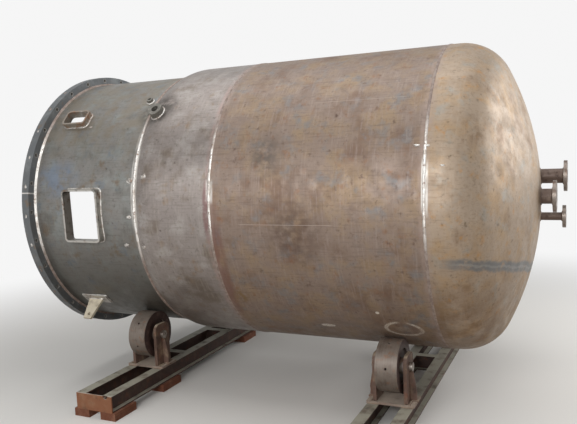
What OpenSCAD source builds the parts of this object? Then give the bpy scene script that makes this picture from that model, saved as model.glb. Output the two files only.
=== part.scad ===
// Skirted pressure vessel lying on two pairs of turning rolls.
// X runs along the vessel, from the base ring to the crown head. Z is up.
// The origin is on the floor, under the middle of the whole assembly.
// Stations along the vessel are measured from the base ring's free face.
// Angles round the vessel are measured from the near side (-Y), upwards.

/* [Vessel] */
// Outside diameter of the shell course and both heads
shell_d = 1820; // [1600:10:2000]
// Plate thickness of the shell course and heads
shell_t = 10; // [8:1:16]
// Length of the shell course between its two girth welds
course_l = 1220; // [900:10:1600]
// Straight flange of the crown head
crown_flange_l = 50; // [30:5:80]
// Straight flange of the bottom head
bottom_flange_l = 405; // [300:5:500]
// Depth of each dished end beyond its straight flange
dish_depth = 425; // [400:5:450]
// Outside radius of the knuckle of each dished end
knuckle_r = 280; // [240:5:300]

/* [Skirt and base ring] */
// Step from the shell's outside surface in to the skirt's
skirt_step = 40; // [30:1:60]
// Plate thickness of the skirt
skirt_t = 10; // [8:1:16]
// Length of the skirt from the rings to its weld on the bottom head
skirt_l = 800; // [700:10:900]
// How far the base ring and its backing ring stand out past the skirt
ring_out = 57.5; // [50:0.5:65]
// How far both rings reach in from the skirt's inside surface
ring_in = 40; // [20:5:60]
// Thickness of each of the two stacked rings
ring_t = 29; // [20:1:35]
// Distance of the anchor bolt circle from the skirt's outside surface
anchor_out = 34; // [30:1:38]
// Diameter of an anchor bolt hole
anchor_hole_d = 22; // [18:1:24]
// Number of anchor bolt holes
anchor_count = 30; // [20:10:40]

/* [Welds] */
// How far a girth weld bead stands proud
bead_h = 3; // [2:0.5:5]
// Radius of the bead's rounded cap
bead_cap_r = 12; // [8:1:16]
// Leg of the fillet welds on the skirt
fillet_leg = 11; // [8:1:14]

/* [Skirt openings] */
// Access opening: outside length of its frame along the vessel
access_l = 278; // [250:2:286]
// Access opening: outside height of its frame round the skirt
access_h = 335; // [280:5:340]
// Access opening: station of its middle
access_s = 462; // [450:2:466]
// Access opening: angle of its middle
access_a = -1.5; // [-10:0.5:10]
// Pipe opening: outside length of its frame
vent_l = 190; // [150:5:220]
// Pipe opening: outside height of its frame
vent_h = 120; // [100:5:150]
// Pipe opening: station of its middle
vent_s = 278; // [262:2:290]
// Pipe opening: angle of its middle
vent_a = 42; // [36:1:50]
// Thickness of the flat bar of both frames
frame_t = 12; // [8:1:14]
// How far the frames stand out of the skirt
frame_out = 36; // [20:1:45]
// How far the frames reach inside the skirt
frame_in = 14; // [5:1:25]
// Outside corner radius of the frames
frame_r = 28; // [16:1:40]

/* [Small fittings] */
// Outside diameter of the vent stub near the top of the skirt
stub_d = 44; // [36:2:60]
// Bore of the vent stub
stub_bore_d = 22; // [16:1:30]
// Distance of the vent stub from the top of the skirt
stub_back = 63; // [50:1:90]
// Angle of the vent stub
stub_a = 51; // [45:0.5:58]
// How far the vent stub stands out of the skirt
stub_out = 22; // [10:1:30]
// Outside diameter of the side coupling on the bottom head's knuckle
coupling_d = 92; // [80:2:100]
// Bore of the side coupling
coupling_bore_d = 45; // [38:1:55]
// Distance of the side coupling from the bottom head's tangent line
coupling_back = 62; // [55:1:75]
// Angle of the side coupling
coupling_a = 41; // [38:0.5:46]
// How far the coupling's outer face lies beyond the shell's outside surface
coupling_out = 34; // [10:1:50]

/* [Lug] */
// Length of the lug's pad along the vessel
pad_l = 200; // [160:5:220]
// Width of the pad round the skirt
pad_w = 80; // [60:5:100]
// Thickness of the pad
pad_t = 10; // [6:1:12]
// Station of the lug's middle
lug_s = 284; // [272:2:302]
// Angle of the lug
lug_a = -46; // [-60:1:-40]
// Reach of the lug plate from the skirt's surface
lug_reach = 160; // [120:5:180]
// Width of the lug plate at the pad
lug_root_w = 110; // [90:5:130]
// Width of the lug plate at its tip
lug_tip_w = 62; // [50:2:70]
// Thickness of the lug plate
lug_t = 16; // [10:1:20]
// Diameter of the hole in the lug plate
lug_hole_d = 22; // [16:1:30]

/* [Nozzles] */
// Outside diameter of the neck of the large nozzles
neck_d = 88; // [76:2:102]
// Wall of the large necks
neck_t = 6; // [4:0.5:9]
// Outside diameter of the large flanges
flange_d = 185; // [180:5:200]
// Thickness of the flanges
flange_t = 20; // [16:1:24]
// Distance of the bolt circle from a flange's edge
flange_edge = 17.5; // [14:0.5:20]
// Bolt hole diameter of the flanges
flange_hole_d = 19; // [14:1:19]
// Number of bolt holes in a large flange
flange_count = 8; // [4:4:8]
// Outside diameter of the small neck
small_neck_d = 48; // [42:2:60]
// Outside diameter of the small flange
small_flange_d = 135; // [130:5:150]
// Number of bolt holes in the small flange
small_flange_count = 4; // [4:4:8]
// Distance of the outer nozzles from the vessel's axis
nozzle_r = 230; // [220:5:260]
// Direction of the upper nozzle seen along the axis, from the far side upwards
upper_nozzle_a = 27; // [20:1:60]
// Direction of the lower nozzle
lower_nozzle_a = -37; // [-60:1:-30]
// Reach of the centre nozzle beyond the crown
centre_reach = 86; // [70:1:140]
// Reach of the upper nozzle beyond the crown
upper_reach = 137; // [110:1:160]
// Reach of the lower nozzle beyond the crown
lower_reach = 130; // [110:1:160]
// Reach of the bottom nozzle below the bottom head
bottom_reach = 95; // [80:5:140]

/* [Turning rolls] */
// Diameter of a roller
roller_d = 300; // [260:10:330]
// Width of a roller's tread
roller_w = 126; // [110:2:128]
// Sideways distance of each roller from the vessel's axis
roller_y = 555; // [520:5:590]
// Gap between the access opening's frame and the track of the rollers
track_gap = 9; // [6:1:14]
// Distance of the rollers under the shell course from the crown's seam
shell_roller_back = 280; // [200:1:400]
// Gap between a roller and the vessel
roller_gap = 0.3; // [0.2:0.1:0.5]
// Diameter of the recess in each side of a roller
recess_d = 200; // [170:5:220]
// Depth of that recess
recess_depth = 14; // [6:1:20]
// Diameter of a roller's hub
hub_d = 92; // [80:2:110]
// Gap between a roller's hub and an ear plate
hub_gap = 5; // [5:1:8]
// Diameter of a roller's axle
axle_d = 50; // [40:2:60]
// How far an axle stands out of its ear plates
axle_out = 18; // [10:1:25]
// Running clearance of the axle in the roller, on the radius
axle_fit = 0.06; // [0.04:0.01:0.1]
// Gap between a roller and the seat plate under it
seat_gap = 47; // [20:1:70]
// Diameter of the radial holes in the tread
tread_hole_d = 14; // [10:1:18]
// Depth of the radial holes
tread_hole_l = 40; // [20:1:50]
// Number of radial holes in the tread
tread_hole_count = 6; // [4:1:8]
// Angle of a tread hole at rest on the rollers under the skirt, from -Y upwards
skirt_hole_a = 40; // [0:1:60]
// Angle of a tread hole at rest on the rollers under the shell course
shell_hole_a = 9; // [0:1:60]

/* [Roll stands] */
// Depth of a rail beam
rail_h = 100; // [90:5:125]
// Flange width of a rail beam
rail_w = 68; // [60:1:75]
// Web thickness of a rail beam
web_t = 5; // [4:0.5:8]
// Flange thickness of a rail beam
rail_flange_t = 8; // [6:1:10]
// Width of a stand over both rails
stand_w = 264; // [250:2:280]
// Reach of a stand from the vessel's axis to each end
stand_reach = 1140; // [1050:10:1200]
// Distance of the cross beams from the vessel's axis
brace_y = 280; // [240:5:320]
// Flange width of the cross beams
brace_w = 58; // [50:2:68]
// Thickness of the end plates
end_t = 8; // [6:1:12]
// Diameter of the half round notch in an end plate's top edge
notch_d = 36; // [24:2:44]
// Thickness of the seat plates under the rollers
seat_t = 14; // [10:1:16]
// How far a seat plate reaches past the ear plates
seat_edge = 7; // [4:1:20]
// How far a seat plate stands out past the rails
seat_over = 6; // [2:1:10]
// Thickness of a bracket's ear plate
ear_t = 20; // [14:1:24]
// Gap between a roller's side and an ear plate
ear_gap = 16; // [14:1:20]
// Width of an ear plate
ear_w = 146; // [130:2:160]
// Height of an ear plate above the axle
ear_over = 74; // [60:1:80]
// Radius of an ear plate's top corners
ear_r = 40; // [30:1:60]
// Distance of the outer gusset's foot from the edge of its seat plate
gusset_back = 2; // [1:1:8]
// Height of the gusset's upright edge
gusset_edge_h = 62; // [40:1:80]
// Thickness of the gusset
gusset_t = 12; // [8:1:16]
// Width of a block under the skirt stand
block_w = 110; // [80:5:130]
// Length of a block across the stand
block_l = 200; // [140:10:240]

/* [Hidden] */
$fn = 96;

shell_r = shell_d / 2;
roller_r = roller_d / 2;
axle_r = axle_d / 2;

// The skirt follows the shell, and the rings and their bolt circle follow the skirt
skirt_r = shell_r - skirt_step;
skirt_d = 2 * skirt_r;
ring_d = skirt_d + 2 * ring_out;
ring_bore_d = skirt_d - 2 * (skirt_t + ring_in);
anchor_pcd = skirt_d + 2 * anchor_out;

// The crown radius that is tangent to the knuckle at the chosen depth
crown_r = (pow(shell_r - knuckle_r, 2) / (dish_depth - knuckle_r)
  + knuckle_r + dish_depth) / 2;
// Depth of the dish, from its tangent line, where it has the skirt's radius
skirt_rise = sqrt(pow(knuckle_r, 2) - pow(skirt_r - shell_r + knuckle_r, 2));

// Stations along the vessel; the tangent line is set out to the whole millimetre
rings_s = 2 * ring_t;
skirt_top_s = rings_s + skirt_l;
bottom_tangent_s = round(skirt_top_s + skirt_rise);
bottom_pole_s = bottom_tangent_s - dish_depth;
bottom_seam_s = bottom_tangent_s + bottom_flange_l;
crown_seam_s = bottom_seam_s + course_l;
crown_pole_s = crown_seam_s + crown_flange_l + dish_depth;
total_l = crown_pole_s + max(upper_reach, lower_reach, centre_reach);

// Stations of the fittings and of the rollers
stub_s = skirt_top_s - stub_back;
coupling_s = bottom_tangent_s - coupling_back;
skirt_roller_s = access_s + access_l / 2 + track_gap + roller_w / 2;
shell_roller_s = crown_seam_s - shell_roller_back;

// Height of the axles above the rails, and below the vessel's axis
axle_h = seat_t + seat_gap + roller_r;
function axle_drop(r) = sqrt(pow(r + roller_gap + roller_r, 2) - pow(roller_y, 2));
shell_drop = axle_drop(shell_r);
skirt_drop = axle_drop(skirt_r);
axis_z = rail_h + axle_h + shell_drop;
// The skirt is narrower, so its stand is raised on blocks
block_h = shell_drop - skirt_drop;

// Outer face of an ear plate from the roller's middle, and the gusset beyond it
ear_x = roller_w / 2 + ear_gap + ear_t;
gusset_w = stand_w / 2 + seat_over - gusset_back - ear_x;
seat_l = ear_w + 2 * seat_edge;

// The origin is under the middle of the assembly
origin_x = total_l / 2;

big = 4 * shell_d;
// Sides of the wide arcs of the dished ends
fine = 480;

// Places children on the vessel's axis, with their Z along it
module on_axis(s = 0) {
  translate([s - origin_x, 0, axis_z]) rotate([0, 90, 0]) children();
}

// Places children on the vessel's surface, with their Z pointing outwards
module on_skin(s, a, r) {
  translate([s - origin_x, 0, axis_z])
    rotate([90 - a, 0, 0])
      translate([0, 0, r]) children();
}

// Half outline of a dished end, tangent line at 0, inset by t from its skin
module dish_outline(t = 0) {
  r = shell_r - t;
  k = knuckle_r - t;
  c = crown_r - t;
  low = crown_r - dish_depth;
  reach = 2 * c / (crown_r - knuckle_r);
  intersection() {
    union() {
      intersection() {
        translate([0, -low]) circle(c, $fn = fine);
        polygon([[0, -low], [(shell_r - knuckle_r) * reach, low * reach - low], [0, big]]);
      }
      translate([shell_r - knuckle_r, 0]) circle(k, $fn = fine);
      square([shell_r - knuckle_r, k]);
    }
    square([r + 1, dish_depth + 1]);
  }
}

// A dished end with its straight flange, as a solid of revolution
module head_shell(flange_l) {
  rotate_extrude() difference() {
    union() {
      square([shell_r, flange_l]);
      translate([0, flange_l]) dish_outline();
    }
    union() {
      translate([0, -1]) square([shell_r - shell_t, flange_l + 1.001]);
      translate([0, flange_l]) dish_outline(shell_t);
    }
  }
}

module head_solid() {
  rotate_extrude() dish_outline();
}

module tube(d, bore, l) {
  difference() {
    cylinder(d = d, h = l);
    translate([0, 0, -1]) cylinder(d = bore, h = l + 2);
  }
}

// Rounded cap of a girth weld, seated on a cylinder of radius r
module girth_bead(r) {
  rotate_extrude() difference() {
    translate([r + bead_h - bead_cap_r, 0]) circle(bead_cap_r);
    translate([0, -big / 2]) square([r, big]);
  }
}

module ring_of_holes(pcd, d, count, l) {
  for (i = [0 : count - 1])
    rotate([0, 0, (i + 0.5) * 360 / count])
      translate([pcd / 2, 0, -1]) cylinder(d = d, h = l + 2);
}

module rounded_plate(l, w, h, r) {
  translate([0, 0, -h / 2]) linear_extrude(h) union() {
    square([l - 2 * r, w], center = true);
    square([l, w - 2 * r], center = true);
    for (x = [-1, 1], y = [-1, 1])
      translate([x * (l / 2 - r), y * (w / 2 - r)]) circle(r);
  }
}

// Vessel

// One of the two rings that are stacked at the foot of the skirt
module foot_ring(s) {
  color("dimgray") on_axis(s) difference() {
    tube(ring_d, ring_bore_d, ring_t);
    ring_of_holes(anchor_pcd, anchor_hole_d, anchor_count, ring_t);
  }
}

module base_ring_weld() {
  color("silver") on_axis(rings_s) rotate_extrude()
    translate([skirt_r, 0]) polygon([[0, 0], [fillet_leg, 0], [0, fillet_leg]]);
}

module skirt() {
  color("slategray") difference() {
    on_axis(rings_s) tube(skirt_d, skirt_d - 2 * skirt_t, skirt_l + 1);
    on_axis(bottom_tangent_s) rotate([180, 0, 0]) head_solid();
    on_skin(access_s, access_a, skirt_r)
      rounded_plate(access_l, access_h, 4 * frame_out, frame_r);
    on_skin(vent_s, vent_a, skirt_r)
      rounded_plate(vent_l, vent_h, 4 * frame_out, frame_r);
    on_skin(stub_s, stub_a, skirt_r) cylinder(d = stub_d, h = 4 * stub_out, center = true);
  }
}

module skirt_weld() {
  color("silver") on_axis(bottom_tangent_s) rotate([180, 0, 0]) rotate_extrude()
    difference() {
      translate([skirt_r, skirt_rise]) circle(fillet_leg);
      dish_outline();
      translate([0, skirt_rise - big / 2]) square([skirt_r, big]);
    }
}

module bottom_head() {
  color("rosybrown") difference() {
    on_axis(bottom_seam_s) rotate([180, 0, 0]) head_shell(bottom_flange_l);
    on_axis(bottom_pole_s - 1) cylinder(d = neck_d - 2 * neck_t, h = 4 * shell_t);
    on_skin(coupling_s, coupling_a, shell_r / 2) cylinder(d = coupling_d, h = shell_r);
  }
}

module bottom_seam_weld() {
  color("silver") on_axis(bottom_seam_s) girth_bead(shell_r);
}

module shell_course() {
  color("peru") on_axis(bottom_seam_s) tube(shell_d, shell_d - 2 * shell_t, course_l);
}

module crown_seam_weld() {
  color("silver") on_axis(crown_seam_s) girth_bead(shell_r);
}

// Places children on a crown nozzle's own axis
module on_nozzle(r, a) {
  on_axis() translate([-r * sin(a), r * cos(a), 0]) children();
}

module nozzle_bore(r, a, d) {
  on_nozzle(r, a) translate([0, 0, crown_pole_s - dish_depth])
    cylinder(d = d - 2 * neck_t, h = 2 * dish_depth);
}

module crown_head() {
  color("goldenrod") difference() {
    on_axis(crown_seam_s) head_shell(crown_flange_l);
    nozzle_bore(0, 0, neck_d);
    nozzle_bore(nozzle_r, upper_nozzle_a, neck_d);
    nozzle_bore(nozzle_r, lower_nozzle_a, small_neck_d);
  }
}

// A neck set on the crown and cut to its curve
module crown_neck(r, a, d, reach) {
  color("saddlebrown") difference() {
    on_nozzle(r, a) translate([0, 0, crown_pole_s - dish_depth / 2])
      tube(d, d - 2 * neck_t, dish_depth / 2 + reach - flange_t);
    on_axis(crown_seam_s + crown_flange_l) head_solid();
  }
}

module flange(d, count, neck) {
  difference() {
    tube(d, neck - 2 * neck_t, flange_t);
    ring_of_holes(d - 2 * flange_edge, flange_hole_d, count, flange_t);
  }
}

module crown_flange(r, a, d, count, neck, reach) {
  color("dimgray") on_nozzle(r, a)
    translate([0, 0, crown_pole_s + reach - flange_t]) flange(d, count, neck);
}

module bottom_nozzle_neck() {
  color("saddlebrown") difference() {
    on_axis(bottom_pole_s - bottom_reach + flange_t)
      tube(neck_d, neck_d - 2 * neck_t, bottom_reach);
    on_axis(bottom_tangent_s) rotate([180, 0, 0]) head_solid();
  }
}

module bottom_nozzle_flange() {
  color("dimgray") on_axis(bottom_pole_s - bottom_reach)
    flange(flange_d, flange_count, neck_d);
}

// A flat bar frame welded through the skirt
module skirt_frame(l, w, s, a) {
  mid = (frame_out - frame_in) / 2;
  depth = frame_out + frame_in + sagitta(w);
  color("lightgray") on_skin(s, a, skirt_r + mid - sagitta(w) / 2) difference() {
    rounded_plate(l, w, depth, frame_r);
    rounded_plate(l - 2 * frame_t, w - 2 * frame_t, 2 * depth, frame_r - frame_t);
  }
}

// How far the skirt falls away over half a width
function sagitta(w) = skirt_r - sqrt(pow(skirt_r, 2) - pow(w / 2, 2));

module access_frame() {
  skirt_frame(access_l, access_h, access_s, access_a);
}

module vent_frame() {
  skirt_frame(vent_l, vent_h, vent_s, vent_a);
}

module vent_stub() {
  color("silver") on_skin(stub_s, stub_a, skirt_r - skirt_t - stub_out / 2)
    tube(stub_d, stub_bore_d, skirt_t + 1.5 * stub_out);
}

// A thick coupling set through the knuckle of the bottom head
module side_coupling() {
  foot_r = skirt_r - skirt_t;
  color("silver") on_skin(coupling_s, coupling_a, foot_r)
    tube(coupling_d, coupling_bore_d, shell_r + coupling_out - foot_r);
}

module lug_pad() {
  color("lightgray") on_axis(lug_s - pad_l / 2) rotate([0, 0, -90])
    intersection() {
      tube(skirt_d + 2 * pad_t, skirt_d, pad_l);
      rotate([0, 0, -lug_a]) translate([0, -pad_w / 2, 0]) cube([skirt_d, pad_w, pad_l]);
    }
}

module lug_plate() {
  tip_r = lug_tip_w / 2;
  color("wheat") on_skin(lug_s, lug_a, skirt_r) rotate([90, 0, 0])
    translate([0, 0, -lug_t / 2]) linear_extrude(lug_t) difference() {
      polygon([
        [-lug_root_w / 2, pad_t], [lug_root_w / 2, pad_t],
        [tip_r, lug_reach], [-tip_r, lug_reach]
      ]);
      translate([0, lug_reach - tip_r]) circle(d = lug_hole_d);
    }
}

// Turning rolls

// Places children under the vessel, with their Z up and 0 at the top of the rails
module on_stand(s, drop) {
  translate([s - origin_x, 0, axis_z - drop - axle_h]) children();
}

module rail_section() {
  for (z = [0, rail_h - rail_flange_t])
    translate([0, z]) square([rail_w, rail_flange_t]);
  translate([(rail_w - web_t) / 2, 0]) square([web_t, rail_h]);
}

module stand_rails(s, drop) {
  l = 2 * (stand_reach - end_t);
  color("saddlebrown") on_stand(s, drop)
    for (side = [0, 1]) mirror([side, 0, 0])
      translate([-stand_w / 2, l / 2, -rail_h]) rotate([90, 0, 0])
        linear_extrude(l) rail_section();
}

// Cross beams between the rails, their flanges butted and their webs run through
module stand_braces(s, drop) {
  gap = stand_w - 2 * rail_w;
  web_l = stand_w - rail_w - web_t;
  color("saddlebrown") on_stand(s, drop)
    for (y = [-brace_y, brace_y]) translate([0, y, -rail_h]) {
      for (z = [0, rail_h - rail_flange_t])
        translate([-gap / 2, -brace_w / 2, z]) cube([gap, brace_w, rail_flange_t]);
      translate([-web_l / 2, -web_t / 2, rail_flange_t])
        cube([web_l, web_t, rail_h - 2 * rail_flange_t]);
    }
}

module stand_ends(s, drop) {
  color("chocolate") on_stand(s, drop)
    for (y = [-stand_reach, stand_reach - end_t]) difference() {
      translate([-stand_w / 2, y, -rail_h]) cube([stand_w, end_t, rail_h]);
      translate([(stand_w - rail_w) / 2 - notch_d / 3, y - 1, 0]) rotate([-90, 0, 0])
        cylinder(d = notch_d, h = end_t + 2);
    }
}

module stand_seats(s, drop) {
  color("tan") on_stand(s, drop)
    for (y = [-roller_y, roller_y])
      translate([-stand_w / 2 - seat_over, y - seat_l / 2, 0])
        cube([stand_w + 2 * seat_over, seat_l, seat_t]);
}

module stand_blocks(s, drop) {
  end_y = stand_reach - block_l / 2;
  color("sienna") on_stand(s, drop)
    for (side = [-1, 1], y = [-end_y, -roller_y, roller_y, end_y])
      translate([side * (stand_w - rail_w) / 2 - block_w / 2, y - block_l / 2, -rail_h - block_h])
        cube([block_w, block_l, block_h]);
}

module ear_outline() {
  top = axle_h - seat_t + ear_over;
  translate([-ear_w / 2, 0]) square([ear_w, top - ear_r]);
  translate([-ear_w / 2 + ear_r, 0]) square([ear_w - 2 * ear_r, top]);
  for (side = [-1, 1])
    translate([side * (ear_w / 2 - ear_r), top - ear_r]) circle(ear_r);
}

// Outline of the gusset that props an ear plate from outside
module gusset_outline() {
  top = axle_h - seat_t - axle_r - 1;
  polygon([[-1, 0], [gusset_w, 0], [gusset_w, gusset_edge_h], [axle_out, top], [-1, top]]);
}

module stand_brackets(s, drop) {
  color("brown") on_stand(s, drop)
    for (y = [-roller_y, roller_y], side = [0, 1]) mirror([side, 0, 0])
      translate([ear_x - ear_t, y, seat_t]) {
        rotate([90, 0, 90]) difference() {
          linear_extrude(ear_t) ear_outline();
          translate([0, axle_h - seat_t, -1]) cylinder(d = axle_d, h = ear_t + 2);
        }
        translate([ear_t, gusset_t / 2, 0]) rotate([90, 0, 0])
          linear_extrude(gusset_t) gusset_outline();
      }
}

module stand_axles(s, drop) {
  l = 2 * (ear_x + axle_out);
  color("gray") on_stand(s, drop)
    for (y = [-roller_y, roller_y])
      translate([-l / 2, y, axle_h]) rotate([0, 90, 0]) cylinder(d = axle_d, h = l);
}

module roller(s, drop, side, hole_a) {
  hub_l = roller_w + 2 * (ear_gap - hub_gap);
  color("silver") on_stand(s, drop) translate([0, side * roller_y, axle_h])
    rotate([0, 90, 0]) difference() {
      union() {
        cylinder(d = roller_d, h = roller_w, center = true);
        cylinder(d = hub_d, h = hub_l, center = true);
      }
      cylinder(d = axle_d + 2 * axle_fit, h = hub_l + 2, center = true);
      for (end = [0, 1]) mirror([0, 0, end])
        translate([0, 0, roller_w / 2 - recess_depth])
          tube(recess_d, hub_d, recess_depth + 1);
      for (i = [0 : tread_hole_count - 1])
        rotate([0, 0, i * 360 / tread_hole_count - 90 - hole_a])
          translate([roller_r - tread_hole_l, 0, 0])
            rotate([0, 90, 0]) cylinder(d = tread_hole_d, h = tread_hole_l + 1);
    }
}

stand_rails(skirt_roller_s, skirt_drop);  // skirt_stand_rails
stand_braces(skirt_roller_s, skirt_drop);  // skirt_stand_braces
stand_ends(skirt_roller_s, skirt_drop);  // skirt_stand_ends
stand_seats(skirt_roller_s, skirt_drop);  // skirt_stand_seats
stand_blocks(skirt_roller_s, skirt_drop);  // skirt_stand_blocks
stand_brackets(skirt_roller_s, skirt_drop);  // skirt_stand_brackets
stand_axles(skirt_roller_s, skirt_drop);  // skirt_stand_axles
stand_rails(shell_roller_s, shell_drop);  // shell_stand_rails
stand_braces(shell_roller_s, shell_drop);  // shell_stand_braces
stand_ends(shell_roller_s, shell_drop);  // shell_stand_ends
stand_seats(shell_roller_s, shell_drop);  // shell_stand_seats
stand_brackets(shell_roller_s, shell_drop);  // shell_stand_brackets
stand_axles(shell_roller_s, shell_drop);  // shell_stand_axles
roller(skirt_roller_s, skirt_drop, -1, skirt_hole_a);  // skirt_roller_near
roller(skirt_roller_s, skirt_drop, 1, skirt_hole_a);  // skirt_roller_far
roller(shell_roller_s, shell_drop, -1, shell_hole_a);  // shell_roller_near
roller(shell_roller_s, shell_drop, 1, shell_hole_a);  // shell_roller_far
foot_ring(0);  // base_ring
foot_ring(ring_t);  // backing_ring
base_ring_weld();
skirt();
skirt_weld();
bottom_head();
bottom_seam_weld();
shell_course();
crown_seam_weld();
crown_head();
access_frame();
vent_frame();
vent_stub();
side_coupling();
lug_pad();
lug_plate();
crown_neck(0, 0, neck_d, centre_reach);  // centre_nozzle_neck
crown_flange(0, 0, flange_d, flange_count, neck_d, centre_reach);  // centre_nozzle_flange
crown_neck(nozzle_r, upper_nozzle_a, neck_d, upper_reach);  // upper_nozzle_neck
crown_flange(nozzle_r, upper_nozzle_a, flange_d, flange_count, neck_d, upper_reach);  // upper_nozzle_flange
crown_neck(nozzle_r, lower_nozzle_a, small_neck_d, lower_reach);  // lower_nozzle_neck
crown_flange(nozzle_r, lower_nozzle_a, small_flange_d, small_flange_count,  // lower_nozzle_flange
    small_neck_d, lower_reach);
bottom_nozzle_neck();
bottom_nozzle_flange();
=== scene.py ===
# %% [markdown]
# # A skirted pressure vessel on turning rolls
# The part is a steel pressure vessel that lies on its side on two pairs of rollers,
# as it does while it is welded. The CAD frame already holds every plate, ring,
# flange, roller and beam at its true size. Blender adds the weld runs, the scars,
# the chalk marks and the finishes that some months of work and weather leave on it.

# %% Load the frame
import math
from collections import namedtuple

import bmesh
import bpy
from mathutils import Matrix, Vector, noise


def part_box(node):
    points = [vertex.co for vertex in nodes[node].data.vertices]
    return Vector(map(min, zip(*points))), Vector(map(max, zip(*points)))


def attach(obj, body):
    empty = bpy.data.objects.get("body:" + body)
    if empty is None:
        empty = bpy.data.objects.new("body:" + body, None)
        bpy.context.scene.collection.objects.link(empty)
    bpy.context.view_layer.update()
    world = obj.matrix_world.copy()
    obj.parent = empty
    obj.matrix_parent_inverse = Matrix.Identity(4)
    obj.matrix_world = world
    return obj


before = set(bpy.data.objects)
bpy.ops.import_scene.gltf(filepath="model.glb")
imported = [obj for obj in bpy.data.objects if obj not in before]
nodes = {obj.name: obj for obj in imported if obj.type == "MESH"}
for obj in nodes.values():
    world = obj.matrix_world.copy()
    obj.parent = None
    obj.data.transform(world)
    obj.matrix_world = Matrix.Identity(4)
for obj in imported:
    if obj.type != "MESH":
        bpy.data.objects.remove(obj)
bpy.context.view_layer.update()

# %% [markdown]
# The vessel is round, so most places on it are a station along its axis and an
# angle round it. The axis, the radii and the seams are measured on the CAD nodes,
# so this script follows the frame and repeats as few numbers as it can. The skirt's
# radius is rounded to the whole millimetre it was drawn at. Only the curves of the
# heads can't be read from a box, so they are written down here.

# %% Measure the vessel
shell_low, shell_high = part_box("shell_course")
skirt_low, skirt_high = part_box("skirt")
ring_low, ring_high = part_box("base_ring")
AXIS_Z = (shell_low.z + shell_high.z) / 2
SHELL_R = (shell_high.z - shell_low.z) / 2
SKIRT_R = round((skirt_high.z - skirt_low.z) / 2, 3)
RING_R = (ring_high.z - ring_low.z) / 2
BOTTOM_SEAM_X = shell_low.x
CROWN_SEAM_X = shell_high.x
CROWN_POLE_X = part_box("crown_head")[1].x
# Each head is straight for a while past its seam, then turns in by a knuckle.
BOTTOM_TANGENT_X = BOTTOM_SEAM_X - 0.405
CROWN_TANGENT_X = CROWN_SEAM_X + 0.050
KNUCKLE_R = 0.280
CROWN_R = 1.7211


def station(mm):
    """World X of a station measured from the base ring's free face."""
    return ring_low.x + mm / 1000


def on_vessel(x, angle, radius):
    """A point round the axis; angle in degrees from the near side, upwards."""
    turn = math.radians(angle)
    return Vector((x, -radius * math.cos(turn), AXIS_Z + radius * math.sin(turn)))


RING_SEAM_X = station(58)
SKIRT_SEAM_X = station(858)
print("axis height", round(AXIS_Z, 4), "shell radius", round(SHELL_R, 4),
      "skirt radius", round(SKIRT_R, 4))

# %% [markdown]
# Colours are written as hex values, the way a paint chart or an image editor
# shows them, and one function turns them into the linear light that shaders use.
# A second small function adds a shader node, sets it and links it in one line.

# %% Colour and node helpers
def srgb(code):
    """Linear RGBA of an sRGB hex colour."""
    parts = [int(code[i:i + 2], 16) / 255 for i in (1, 3, 5)]
    return (*[p / 12.92 if p <= 0.04045 else ((p + 0.055) / 1.055) ** 2.4 for p in parts], 1)


def add(tree, kind, inputs=None, **settings):
    """Adds a node, sets its settings, and fills or links its inputs."""
    node = tree.nodes.new(kind)
    for name, value in settings.items():
        setattr(node, name, value)
    for key, value in (inputs or {}).items():
        if isinstance(value, bpy.types.NodeSocket):
            tree.links.new(value, node.inputs[key])
        else:
            node.inputs[key].default_value = value
    return node


def new_finish(name, metallic, roughness):
    """An empty finish: its material, node tree, shader and place on the object."""
    finish = bpy.data.materials.new(name)
    finish.use_nodes = True
    tree = finish.node_tree
    shader = tree.nodes["Principled BSDF"]
    shader.inputs["Metallic"].default_value = metallic
    shader.inputs["Roughness"].default_value = roughness
    place = add(tree, "ShaderNodeTexCoord").outputs["Object"]
    return finish, tree, shader, place


def dress(finish, *names):
    """Gives CAD nodes a finish in place of their plain one."""
    for name in names:
        nodes[name].data.materials.clear()
        nodes[name].data.materials.append(finish)
    print(finish.name, "on", ", ".join(names))


print("the middle grey #808080 is", round(srgb("#808080")[0], 3), "in linear light")

# %% [markdown]
# Rust, mill scale and dust all come in patches. A patch pattern is a noise whose
# size is given in millimetres and which is cut between two levels, so that it
# gives 0 where there is none and 1 where it is full. Stretching it along one axis
# makes streaks. A band is 1 within some distance of a plane, such as a seam's.
# Such masks are multiplied, and a colour is laid over the ground through each.

# %% Patterns
def patches(tree, place, size, low, high, stretch=(1, 1, 1), detail=4.0, shift=0.0):
    """0 to 1 patches of a size in mm, longer along an axis where it is stretched.

    shift moves the pattern, so that two patterns on a piece don't fall together.
    """
    scale = [1000 / size / s for s in stretch]
    moved = add(tree, "ShaderNodeMapping", {
        "Vector": place, "Location": (shift, shift * 1.7, shift * 0.6), "Scale": scale})
    cloud = add(tree, "ShaderNodeTexNoise", {
        "Vector": moved.outputs[0], "Scale": 1.0, "Detail": detail, "Roughness": 0.6})
    cut = add(tree, "ShaderNodeMapRange",
              {0: cloud.outputs["Fac"], 1: low, 2: high}, interpolation_type="SMOOTHSTEP")
    return cut.outputs[0]


def band(tree, value, centre, half, soft):
    """1 where a value is within half of a centre, fading out over soft."""
    away = add(tree, "ShaderNodeMath", {0: value, 1: centre}, operation="SUBTRACT")
    size = add(tree, "ShaderNodeMath", {0: away.outputs[0]}, operation="ABSOLUTE")
    cut = add(tree, "ShaderNodeMapRange", {0: size.outputs[0], 1: half + soft, 2: half},
              interpolation_type="SMOOTHSTEP")
    return cut.outputs[0]


def both(tree, *masks):
    """Several masks multiplied together; a plain number among them weakens the result."""
    made = masks[0]
    for mask in masks[1:]:
        made = add(tree, "ShaderNodeMath", {0: made, 1: mask}, operation="MULTIPLY").outputs[0]
    return made


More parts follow.
